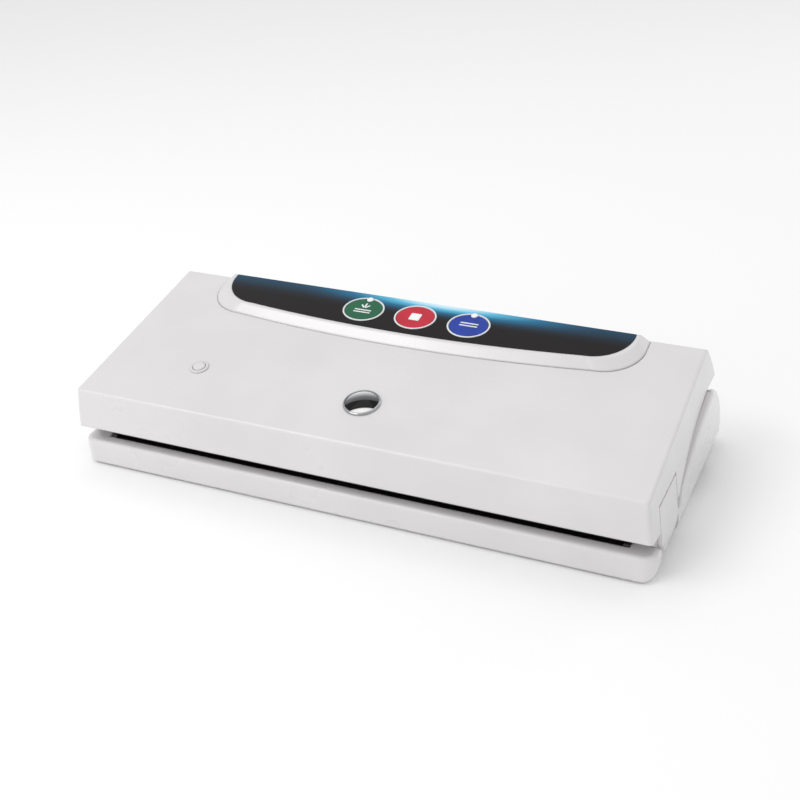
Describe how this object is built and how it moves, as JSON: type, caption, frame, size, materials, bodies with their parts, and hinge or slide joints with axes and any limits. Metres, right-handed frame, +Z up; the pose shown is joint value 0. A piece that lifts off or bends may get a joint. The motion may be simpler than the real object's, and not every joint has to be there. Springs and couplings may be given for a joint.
{
  "type": "vacuum sealer",
  "caption": "Countertop vacuum sealer with a hinged lid, side latches, foam seal rings, a taped heating bar and a dark key panel with oval keys.",
  "frame": {"origin": "on the table under the middle of the part", "axes": "+X to the right end seen from the front, +Y to the hinge, +Z up"},
  "size_m": [0.38, 0.17, 0.0848],
  "materials": {
    "white_shell": "satin",
    "inner_plastic": "matte",
    "pale_rim": "gloss",
    "lamp_lens": "gloss",
    "overlay_black": "gloss",
    "key_green": "gloss",
    "key_red": "gloss",
    "key_blue": "gloss",
    "steel": "satin",
    "motor_can": "satin",
    "ribbon_metal": "satin",
    "tape_black": "satin",
    "carrier_plastic": "matte",
    "seal_foam": "matte",
    "foot_rubber": "matte",
    "press_rubber": "matte",
    "pump_plastic": "matte",
    "crank_brass": "satin",
    "hose_rubber": "satin",
    "coil_copper": "satin",
    "board_green": "satin",
    "part_black": "matte",
    "chrome_ring": "mirror",
    "lens_dark": "gloss",
    "plunger_red": "satin"
  },
  "bodies": {
    "base": {"base_housing": "white_shell", "base_floor": "inner_plastic", "base_screws": "steel", "feet": "foot_rubber", "heater_bar": "carrier_plastic", "heater_ribbon": "ribbon_metal", "heater_tape": "tape_black", "heater_clamps": "steel", "lower_seal": "seal_foam", "hinge_pins": "steel", "pump_motor": "motor_can", "pump_head": "pump_plastic", "pump_cradle": "inner_plastic", "air_port": "pump_plastic", "air_hose": "hose_rubber", "transformer_core": "steel", "transformer_coil": "coil_copper", "main_board": "board_green", "board_parts": "part_black", "power_inlet": "pump_plastic", "inlet_pins": "crank_brass", "lid_switches": "pump_plastic"},
    "lid": {"lid_cover": "white_shell", "lid_liner": "inner_plastic", "lid_screws": "steel", "upper_seal": "seal_foam", "press_strip": "press_rubber", "latch_pins": "steel", "panel_frame": "white_shell", "panel_overlay": "overlay_black", "key_rims": "pale_rim", "indicator_lamps": "lamp_lens", "panel_board": "board_green", "key_switches": "part_black", "sight_bezel": "chrome_ring", "sight_lens": "lens_dark", "sight_nut": "pump_plastic", "valve_collar": "white_shell", "valve_seal": "foot_rubber"},
    "latch_right": {"latch_right": "white_shell"},
    "latch_left": {"latch_left": "white_shell"},
    "key_left": {"key_left": "key_green"},
    "key_middle": {"key_middle": "key_red"},
    "key_right": {"key_right": "key_blue"},
    "valve_button": {"valve_button": "white_shell"},
    "plunger_right": {"plunger_right": "plunger_red"},
    "plunger_left": {"plunger_left": "plunger_red"},
    "pump_crank": {"pump_crank": "crank_brass"}
  },
  "joints": [
    {"name": "lid_hinge", "type": "hinge", "parent": "base", "child": "lid", "pos_m": [0, 0.06, 0.05], "axis": [-1, 0, 0], "range_deg": [0, 75]},
    {"name": "latch_right_pivot", "type": "hinge", "parent": "lid", "child": "latch_right", "pos_m": [0.1817, -0.0495, 0.04], "axis": [0, -1, 0], "range_deg": [-4.5, 8]},
    {"name": "latch_left_pivot", "type": "hinge", "parent": "lid", "child": "latch_left", "pos_m": [-0.1817, -0.0495, 0.04], "axis": [0, 1, 0], "range_deg": [-4.5, 8]},
    {"name": "key_left_press", "type": "slide", "parent": "lid", "child": "key_left", "axis": [0, 0.1723, -0.985], "range_m": [0, 0.0005], "stiffness_N_per_m": 900},
    {"name": "key_middle_press", "type": "slide", "parent": "lid", "child": "key_middle", "axis": [0, 0.1723, -0.985], "range_m": [0, 0.0005], "stiffness_N_per_m": 900},
    {"name": "key_right_press", "type": "slide", "parent": "lid", "child": "key_right", "axis": [0, 0.1723, -0.985], "range_m": [0, 0.0005], "stiffness_N_per_m": 900},
    {"name": "valve_press", "type": "slide", "parent": "lid", "child": "valve_button", "axis": [0, 0.1723, -0.985], "range_m": [0, 0.0012], "stiffness_N_per_m": 500},
    {"name": "plunger_right_press", "type": "slide", "parent": "base", "child": "plunger_right", "axis": [0, 0, -1], "range_m": [0, 0.0008], "stiffness_N_per_m": 200},
    {"name": "plunger_left_press", "type": "slide", "parent": "base", "child": "plunger_left", "axis": [0, 0, -1], "range_m": [0, 0.0008], "stiffness_N_per_m": 200},
    {"name": "pump_spin", "type": "hinge", "parent": "base", "child": "pump_crank", "pos_m": [0.074, 0.014, 0.021], "axis": [1, 0, 0], "continuous": true}
  ]
}
